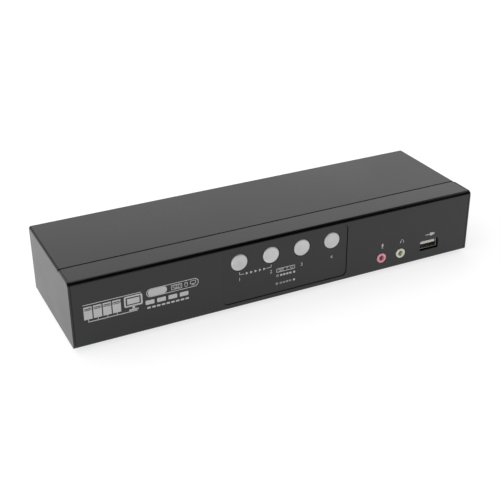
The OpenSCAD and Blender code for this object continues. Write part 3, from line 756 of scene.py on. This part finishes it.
socket_black = moulded("socket_black", (0.01, 0.01, 0.011), 0.45)
socket_white = moulded("socket_white", (0.62, 0.61, 0.57), 0.45)
shell_wall = 0.4 * mm
leaf_start = 1.4 * mm
leaf_wide = 1.8 * mm
side_leaf_wide = 1.4 * mm


def block(name, low, high, edge=0.05 * mm):
    """A block between two corners, with rounded edges."""
    bpy.ops.object.select_all(action="DESELECT")
    bpy.ops.mesh.primitive_cube_add(size=1, location=(0, 0, 0))
    piece = bpy.context.object
    piece.name = name
    low, high = Vector(low), Vector(high)
    size = high - low
    piece.data.transform(Matrix.Translation((low + high) / 2) @ Matrix.Diagonal((*size, 1)))
    return soften(piece, edge)


def joined(name, parts):
    """Joins parts into one piece."""
    bpy.ops.object.select_all(action="DESELECT")
    for part in parts:
        part.select_set(True)
    bpy.context.view_layer.objects.active = parts[0]
    bpy.ops.object.join()
    parts[0].name = name
    return parts[0]


def strip(name, path, across, thick):
    """A thin strip of metal along a path of points. across is its width, as a vector."""
    bpy.ops.object.select_all(action="DESELECT")
    bpy.ops.mesh.primitive_plane_add(size=mm, location=(0, 0, 0))
    piece = bpy.context.object
    piece.name = name
    bpy.ops.object.mode_set(mode="EDIT")
    bpy.ops.mesh.select_mode(type="VERT")
    bpy.ops.mesh.merge(type="CENTER")
    bpy.ops.transform.translate(value=path[0] - across / 2)
    bpy.ops.mesh.extrude_region_move(TRANSFORM_OT_translate={"value": across})
    bpy.ops.mesh.select_all(action="SELECT")
    for place_now, place_next in zip(path, path[1:]):
        bpy.ops.mesh.extrude_region_move(TRANSFORM_OT_translate={"value": place_next - place_now})
    bpy.ops.mesh.select_all(action="SELECT")
    bpy.ops.mesh.normals_make_consistent(inside=False)
    bpy.ops.object.mode_set(mode="OBJECT")
    thickness = piece.modifiers.new("thick", "SOLIDIFY")
    thickness.thickness = thick
    thickness.offset = 0
    apply_all(piece)
    bpy.ops.object.shade_smooth_by_angle(angle=math.radians(35))
    return piece


def leaf_spring(root, inward, toward, length, bow, width):
    """A leaf that starts at root on a shell's wall, runs inward and bows toward the plug."""
    inward, toward = Vector(inward), Vector(toward)
    shape = ((0, 0), (0.25, 0.5), (0.5, 0.95), (0.65, 1), (0.85, 0.7), (1, 0.2))
    path = [Vector(root) + inward * length * along + toward * bow * depth for along, depth in shape]
    return strip("leaf", path, inward.cross(toward) * width, 0.15 * mm)


def shell_with_springs(node, mouth, inward, half_w, half_h, length, bow, leaves):
    """A socket's shell with leaf springs above and below, at each x of leaves, and one on each side."""
    parts = [soften(from_cad(node, node), 0.12 * mm, segments=3)]
    for side in (-1, 1):
        for x in leaves:
            root = mouth + Vector((x, inward * leaf_start, side * (half_h - shell_wall)))
            parts.append(leaf_spring(root, (0, inward, 0), (0, 0, -side), length, bow, leaf_wide))
        root = mouth + Vector((side * (half_w - shell_wall), inward * leaf_start, 0))
        parts.append(leaf_spring(root, (0, inward, 0), (-side, 0, 0), length, bow * 0.6, side_leaf_wide))
    finish_piece(joined(node + "_plated", parts), nickel, node=node)


def contact_row(mouth, inward, low, high, pitch, count, width, start, end):
    """Flat contacts on a tongue, between the heights low and high and from start to end behind the mouth."""
    row = []
    for step in range(count):
        x = (step - (count - 1) / 2) * pitch
        near, far = sorted((inward * start, inward * end))
        corner_low = mouth + Vector((x - width / 2, near, low)) * mm
        corner_high = mouth + Vector((x + width / 2, far, high)) * mm
        row.append(block("contact", corner_low, corner_high, 0.02 * mm))
    return row


def mouth_of(node):
    """The middle of a rear socket's mouth."""
    low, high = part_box(node)
    return Vector(((low.x + high.x) / 2, high.y, (low.z + high.z) / 2))


def copy_of(piece, name, shift):
    """A copy with its own mesh, moved by shift."""
    twin = bpy.data.objects.new(name, piece.data.copy())
    bpy.context.collection.objects.link(twin)
    twin.data.transform(Matrix.Translation(shift))
    return twin


def one_at_each(first, name, places):
    """A piece that stands at the first of some places, with a copy of it at each of the others."""
    return [first] + [copy_of(first, f"{name}_{n}", spot - places[0]) for n, spot in enumerate(places[1:], 2)]


# The front socket stands a little behind the steel, with a lip turned up along its top.
usb_half_w = 6.6 * mm
usb_leaves = (-3.4 * mm, 3.4 * mm)
leaf_long = 7 * mm
leaf_bow = 0.45 * mm
lip_to_mid = 3.4 * mm
usb_low, usb_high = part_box("front_usb_shell")
front_usb = Vector(((usb_low.x + usb_high.x) / 2, usb_low.y, usb_high.z - lip_to_mid))
shell_with_springs("front_usb_shell", front_usb, 1, usb_half_w, 2.9 * mm, leaf_long, leaf_bow, usb_leaves)

remade("usb_a_tongues", "usb_tongues", 0.12 * mm, socket_white)

pair_mouth = mouth_of("console_usb_shell")
pair_half_h = 7.8 * mm
pair_leaves = [soften(from_cad("console_usb_shell", "console_usb"), 0.12 * mm, segments=3)]
for side in (-1, 1):
    for x in usb_leaves:
        root = pair_mouth + Vector((x, -leaf_start, side * (pair_half_h - shell_wall)))
        pair_leaves.append(leaf_spring(root, (0, -1, 0), (0, 0, -side), leaf_long, leaf_bow, leaf_wide))
    for z in (-4.9 * mm, 4.9 * mm):
        root = pair_mouth + Vector((side * (usb_half_w - shell_wall), -leaf_start, z))
        pair_leaves.append(leaf_spring(root, (0, -1, 0), (-side, 0, 0), leaf_long, 0.3 * mm, side_leaf_wide))
finish_piece(joined("console_usb_plated", pair_leaves), nickel, node="console_usb_shell")

usb_contacts = []
for mouth, inward, low in ((front_usb, 1, 0.05), (pair_mouth, -1, 4.85), (pair_mouth, -1, -4.65)):
    usb_contacts += contact_row(
        mouth, inward, low, low + 0.14, pitch=2.3, count=4, width=1.0, start=2.2, end=10.5
    )
finish_piece(joined("usb_contacts", usb_contacts), gold)

# Screen sockets: ten contacts on the tongue's upper face and nine below.
screen_nodes = [f"hdmi_in_shell_{n}" for n in range(1, 5)] + ["hdmi_out_shell"]
screen_mouths = [mouth_of(node) for node in screen_nodes]
for node, mouth in zip(screen_nodes, screen_mouths):
    shell_with_springs(node, mouth, -1, 7.5 * mm, 2.8 * mm, 5 * mm, 0.4 * mm, (-3.2 * mm, 3.2 * mm))
row = []
for count, low in ((10, 0.97), (9, -0.35)):
    row += contact_row(
        screen_mouths[0], -1, low, low + 0.08, pitch=1.0, count=count, width=0.45, start=2.0, end=7.5
    )
for contacts in one_at_each(joined("screen_contacts_1", row), "screen_contacts", screen_mouths):
    finish_piece(contacts, gold)
remade("hdmi_tongues", "screen_tongues", 0.1 * mm, socket_black)

# Square USB sockets for the computers: two contacts above the tongue and two below.
square_nodes = [f"usb_b_shell_{n}" for n in range(1, 5)]
square_mouths = [mouth_of(node) for node in square_nodes]
for node in square_nodes:
    remade(node, node + "_plated", 0.2 * mm, nickel, segments=3)
row = []
for low in (1.55, -1.7):
    row += contact_row(
        square_mouths[0], -1, low, low + 0.15, pitch=2.5, count=2, width=1.1, start=1.6, end=8.5
    )
for contacts in one_at_each(joined("square_contacts_1", row), "square_contacts", square_mouths):
    finish_piece(contacts, gold)
remade("usb_b_tongues", "square_tongues", 0.15 * mm, socket_white)


# ---------- Power socket ----------
# A moulded black barrel socket with a plated centre pin.
# A spring contact along the bore's lower side touches the plug's sleeve.

remade("power_jack", "power_body", 0.25 * mm, socket_black, segments=3)

pin_low, pin_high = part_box("power_pin")
pin_long = (pin_high.y - pin_low.y) / mm
pin_radius = (pin_high.x - pin_low.x) / 2 / mm
pin_profile = [(0, 0)] + arc(pin_radius - 0.5, 0.5, 0.5, -90, 0, 4)
pin_profile += [(pin_radius, pin_long), (0, pin_long)]
pin_mid = centre_of("power_pin")
power_pin = turned("pin", pin_profile, (pin_mid.x, pin_high.y, pin_mid.z), -1, steps=40)
finish_piece(power_pin, nickel, node="power_pin")

spring_root = Vector((pin_mid.x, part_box("power_jack")[1].y - 1.5 * mm, pin_mid.z - 2.9 * mm))
sleeve_spring = leaf_spring(spring_root, (0, -1, 0), (0, 0, 1), 7 * mm, 0.5 * mm, 1.6 * mm)
sleeve_spring.name = "power_spring"
finish_piece(sleeve_spring, nickel)


# ---------- Rear print ----------
# The same light grey ink marks each socket on the rear panel.
# Each computer's group has its number, and every socket a small sign of what it takes.

audio_z = 17.0
number_z = 26.4
rear_signs = []


def audio_signs(x):
    """The signs over a pair of audio sockets, for the screen socket at x."""
    return speaker_sign(x - 1.5, audio_z, 3.2) + microphone_sign(x - 12.5, audio_z, 3.4)


def divider(x):
    """A thin upright line between two groups of sockets, for the screen socket at x."""
    return [plate(x - 20.3, 16, 0.3, 22)]


for n in range(1, 5):
    seen_x = -centre_of(f"hdmi_in_shell_{n}").x / mm
    square_x = seen_x + 12
    rear_signs.append(plate(square_x, number_z, 5.4, 5.4, 1.0, ink_line))
    rear_signs.append(figure(square_x, number_z, 3.4, str(n)))
    rear_signs += screen_plug_sign(seen_x, 31.4, 5.0)
    rear_signs += plug_sign(square_x, 18.2, 6.0)
    rear_signs += audio_signs(seen_x)
    if n < 4:
        rear_signs += divider(seen_x)

console_x = -centre_of("hdmi_out_shell").x / mm
rear_signs += monitor_sign(console_x, 31.6, 3.8)
console_sign_z = 22.9
rear_signs += keyboard_sign(console_x + 16.2, console_sign_z, 5.0)
rear_signs += mouse_sign(console_x + 11.2, console_sign_z, 2.6)
rear_signs += audio_signs(console_x)
rear_signs += divider(console_x)
power_x = -pin_mid.x / mm
rear_signs.append(plate(power_x, 18.1, 4.0, 0.4))
for step in (-1, 0, 1):
    rear_signs.append(plate(power_x + step * 1.4, 17.2, 0.9, 0.4))
print_on("rear_print", rear_signs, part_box("rear_panel")[1].y, seen_from_behind=True)


# ---------- Button board ----------
# A small circuit board with four snap switches and eight diodes that light up, screwed to posts on the panel.
# The switches are black mouldings, the diodes clear yellowish resin, and each leg ends in a bead of solder.


def circuit_board(name):
    """Fibreglass under green solder resist: raised tracks, small tinned pads and slightly lighter edges."""
    material, tree, shader, place = start_finish(name, (0.01, 0.075, 0.03), 0.35)
    tracks = tree.nodes.new("ShaderNodeTexVoronoi")
    tracks.feature = "DISTANCE_TO_EDGE"
    tracks.inputs["Scale"].default_value = 1 / (3.5 * mm)
    tree.links.new(place, tracks.inputs["Vector"])
    track = spread(tree, tracks.outputs["Distance"], 1, 0, 0.04, 0.07)
    pads = tree.nodes.new("ShaderNodeTexVoronoi")
    pads.inputs["Scale"].default_value = 1 / (2.2 * mm)
    tree.links.new(place, pads.inputs["Vector"])
    pad = spread(tree, pads.outputs["Distance"], 1, 0, 0.12, 0.15)
    resist = blend_colours(tree, track, (0.008, 0.06, 0.024), (0.018, 0.12, 0.05))
    tree.links.new(blend_colours(tree, pad, resist, (0.6, 0.6, 0.57)), shader.inputs["Base Color"])
    tree.links.new(spread(tree, cloudy(tree, place, 2 * mm), 0.28, 0.42), shader.inputs["Roughness"])
    emboss(tree, shader, track, 0.03 * mm)
    emboss(tree, shader, pad, 0.02 * mm)
    return material


board_green = circuit_board("board_green")
remade("button_board", "buttons_board", 0.1 * mm, board_green)
remade("switch_bodies", "switches", 0.15 * mm, plunger_black, segments=3)
remade("button_board_screws", "small_screws", 0.06 * mm, nickel)

resin, tree, shader, place = start_finish("led_resin", (0.85, 0.8, 0.5), 0.18)
shader.inputs["Transmission Weight"].default_value = 0.6
phosphor = cloudy(tree, place, 0.8 * mm, 2.0)
resin_colour = blend_colours(tree, spread(tree, phosphor, 0, 1), (0.8, 0.72, 0.3), (0.9, 0.88, 0.7))
tree.links.new(resin_colour, shader.inputs["Base Color"])
tree.links.new(spread(tree, phosphor, 0.12, 0.28), shader.inputs["Roughness"])
emboss(tree, shader, cloudy(tree, place, 0.3 * mm), 0.004 * mm)
remade("button_leds", "diodes", 0.2 * mm, resin, segments=3)

solder = plated("solder", (0.7, 0.7, 0.68), 0.3)
solder_profile = [(0.9, 0), (0.62, 0.14), (0.42, 0.4), (0.3, 0.7), (0, 0.8)]
board_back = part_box("button_board")[1].y
leg_x = 3.1 * mm
leg_z = 2.2 * mm
leg_ends = []
for n in range(1, 5):
    switch_mid = centre_of(f"switch_plunger_{n}")
    for x in (switch_mid.x - leg_x, switch_mid.x + leg_x):
        for z in (switch_mid.z - leg_z, switch_mid.z + leg_z):
            leg_ends.append(Vector((x, board_back, z)))
bead = turned("bead", solder_profile, leg_ends[0], steps=24)
finish_piece(joined("switch_solder", one_at_each(bead, "bead", leg_ends)), solder)


# ---------- Panel nuts ----------
# Four small steel hexagon nuts, zinc-plated, on the studs that are welded inside the front wall.
# Their corners are chamfered a little where the bar was turned before it was cut off.

zinc = plated("zinc", (0.6, 0.61, 0.62), 0.32)
remade("panel_nuts", "nuts", 0.12 * mm, zinc, sharp=30)


# ---------- Ribbon cable and headers ----------
# Seven grey wires moulded side by side join the two boards, with the first wire marked red.
# The headers are cream nylon; a taller one joins the main board to the video board.

ribbon_low, ribbon_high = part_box("ribbon_cable")
ribbon_wires = 7
ribbon_pitch = (ribbon_high.x - ribbon_low.x) / ribbon_wires

ribbon_grey, tree, shader, place = start_finish("ribbon_grey", (0.25, 0.26, 0.28), 0.5)
apart = tree.nodes.new("ShaderNodeSeparateXYZ")
tree.links.new(place, apart.inputs["Vector"])
wave = tree.nodes.new("ShaderNodeMath")
wave.operation = "MULTIPLY"
wave.inputs[1].default_value = 2 * math.pi / ribbon_pitch
tree.links.new(apart.outputs["X"], wave.inputs[0])
ridges = tree.nodes.new("ShaderNodeMath")
ridges.operation = "SINE"
tree.links.new(wave.outputs["Value"], ridges.inputs[0])
first_wire_end = ribbon_low.x + ribbon_pitch
marked = spread(tree, apart.outputs["X"], 1, 0, first_wire_end, first_wire_end + ribbon_pitch * 0.05)
soot = spread(tree, cloudy(tree, place, 5 * mm), 0, 1)
grey = blend_colours(tree, soot, (0.2, 0.21, 0.23), (0.28, 0.29, 0.31))
tree.links.new(blend_colours(tree, marked, grey, (0.5, 0.03, 0.02)), shader.inputs["Base Color"])
tree.links.new(spread(tree, soot, 0.42, 0.58), shader.inputs["Roughness"])
emboss(tree, shader, ridges.outputs["Value"], 0.2 * mm)

remade("ribbon_cable", "ribbon", 0.2 * mm, ribbon_grey, segments=3)

header_cream = moulded("header_cream", (0.66, 0.62, 0.52), 0.5)
remade("board_headers", "headers", 0.2 * mm, header_cream)


# ---------- Main board and video board ----------
# Two green fibreglass boards, the video board above the main one on six-sided brass spacers.
# Brass standoffs pressed into the bottom carry the main board, and steel screws hold both.

remade("main_board", "lower_board", 0.12 * mm, board_green)
remade("video_board", "upper_board", 0.12 * mm, board_green)

brass = plated("brass", (0.78, 0.57, 0.25), 0.28)
remade("board_standoffs", "standoffs", 0.12 * mm, brass, sharp=30)
remade("board_spacers", "spacers", 0.15 * mm, brass, sharp=30)
remade("board_screws", "board_fixings", 0.08 * mm, zinc, sharp=30)


# ---------- Chips ----------
# Black epoxy packages with a dimple at the first pin. Rows of tinned legs bend down to the boards.
# The video chip works hot and wears an extruded aluminium heat sink.

epoxy = moulded("epoxy", (0.012, 0.012, 0.013), 0.55, 0.12 * mm, 0.01 * mm)


def solids_of(node):
    """The boxes of the separate solids of a CAD node, in the order of their X."""
    mesh = nodes[node].data
    corner_key = [tuple(round(value / (0.01 * mm)) for value in corner.co) for corner in mesh.vertices]
    leader = {key: key for key in corner_key}

    def lead(key):
        while leader[key] != key:
            leader[key] = leader[leader[key]]
            key = leader[key]
        return key

    for edge in mesh.edges:
        leader[lead(corner_key[edge.vertices[0]])] = lead(corner_key[edge.vertices[1]])
    boxes = {}
    for corner, key in zip(mesh.vertices, corner_key):
        low, high = boxes.setdefault(lead(key), (corner.co.copy(), corner.co.copy()))
        for axis in range(3):
            low[axis] = min(low[axis], corner.co[axis])
            high[axis] = max(high[axis], corner.co[axis])
    return sorted(boxes.values(), key=lambda box: (box[0].x, box[0].y))


leg_pitch = 0.8 * mm
corner_room = 1.2 * mm
shortest_legged_side = 8 * mm
leg_path = [Vector((0, out, height)) * mm for out, height in
            ((-0.05, 0.65), (0.25, 0.65), (0.4, 0.5), (0.5, 0.15), (0.65, 0.07), (1.0, 0.07))]
leg_model = strip("leg", leg_path, Vector((0.32 * mm, 0, 0)), 0.12 * mm)

legs = []
for node in ("logic_chips", "video_chip"):
    remade(node, node + "_bodies", 0.15 * mm, epoxy)
    for low, high in solids_of(node):
        middle = (low + high) / 2
        for turn in range(4):
            half_out, half_along = ((high - low).y / 2, (high - low).x / 2)
            if turn % 2:
                half_out, half_along = half_along, half_out
            elif half_along * 2 < shortest_legged_side:
                continue
            count = int((half_along * 2 - corner_room) / leg_pitch)
            quarter = Matrix.Rotation(turn * math.pi / 2, 4, "Z")
            spun = Matrix.Translation((middle.x, middle.y, low.z)) @ quarter
            for step in range(count):
                along = (step - (count - 1) / 2) * leg_pitch
                leg = copy_of(leg_model, "leg", (along, half_out, 0))
                leg.data.transform(spun)
                legs.append(leg)
bpy.data.objects.remove(leg_model)
finish_piece(joined("chip_legs", legs), solder)

aluminium, tree, shader, place = start_finish("extruded_aluminium", (0.62, 0.63, 0.64), 0.35, 1.0)
drawn = cloudy(tree, place, 0.3 * mm, 3.0, stretch=(1, 0.02, 1))
tree.links.new(spread(tree, drawn, 0.26, 0.46), shader.inputs["Roughness"])
tone = spread(tree, cloudy(tree, place, 8 * mm), 0, 1)
tree.links.new(blend_colours(tree, tone, (0.52, 0.53, 0.54), (0.68, 0.69, 0.7)), shader.inputs["Base Color"])
emboss(tree, shader, drawn, 0.01 * mm)
remade("heat_sink", "sink", 0.15 * mm, aluminium)


# ---------- Capacitors ----------
# Five electrolytic cans: a dark plastic sleeve shrunk over aluminium, with a crimp above the seal.
# The top is bare aluminium inside a turned-in edge of the sleeve.

can_boxes = solids_of("capacitors")
can_low, can_high = can_boxes[0]
can_feet = [Vector(((low.x + high.x) / 2, (low.y + high.y) / 2, low.z)) for low, high in can_boxes]
can_tall = (can_high.z - can_low.z) / mm
can_radius = (can_high.x - can_low.x) / 2 / mm
can_profile = [(0, 0), (can_radius - 0.3, 0), (can_radius, 0.3), (can_radius, 0.9)]
can_profile += [(can_radius - 0.22, 1.2), (can_radius, 1.5), (can_radius, can_tall - 0.35)]
can_profile += arc(can_radius - 0.35, can_tall - 0.35, 0.35, 0, 90, 4)
can_profile += [(can_radius - 0.7, can_tall - 0.05), (can_radius - 0.75, can_tall - 0.12)]
can_profile += [(0, can_tall - 0.12)]

sleeve, tree, shader, place = start_finish("can_sleeve", (0.02, 0.028, 0.07), 0.3)
shrink = cloudy(tree, place, 1.5 * mm, 2.0)
sleeve_colour = blend_colours(tree, spread(tree, shrink, 0, 1), (0.015, 0.02, 0.055), (0.028, 0.036, 0.085))
tree.links.new(sleeve_colour, shader.inputs["Base Color"])
tree.links.new(spread(tree, shrink, 0.24, 0.38), shader.inputs["Roughness"])
emboss(tree, shader, shrink, 0.02 * mm)

can = turned("can", can_profile, can_feet[0], steps=48, upright=True)
finish_piece(joined("cans", one_at_each(can, "can", can_feet)), sleeve, node="capacitors")

vent_profile = [(0, 0.08), (0.25, 0.08), (0.3, 0.05), (can_radius - 1.0, 0.05), (can_radius - 0.8, 0.02)]
vent_profile += [(can_radius - 0.8, 0), (0, 0)]
top_seats = [foot + Vector((0, 0, can_high.z - can_low.z - 0.11 * mm)) for foot in can_feet]
can_top = turned("can_top", vent_profile, top_seats[0], steps=48, upright=True)
finish_piece(joined("can_tops", one_at_each(can_top, "can_top", top_seats)), aluminium)
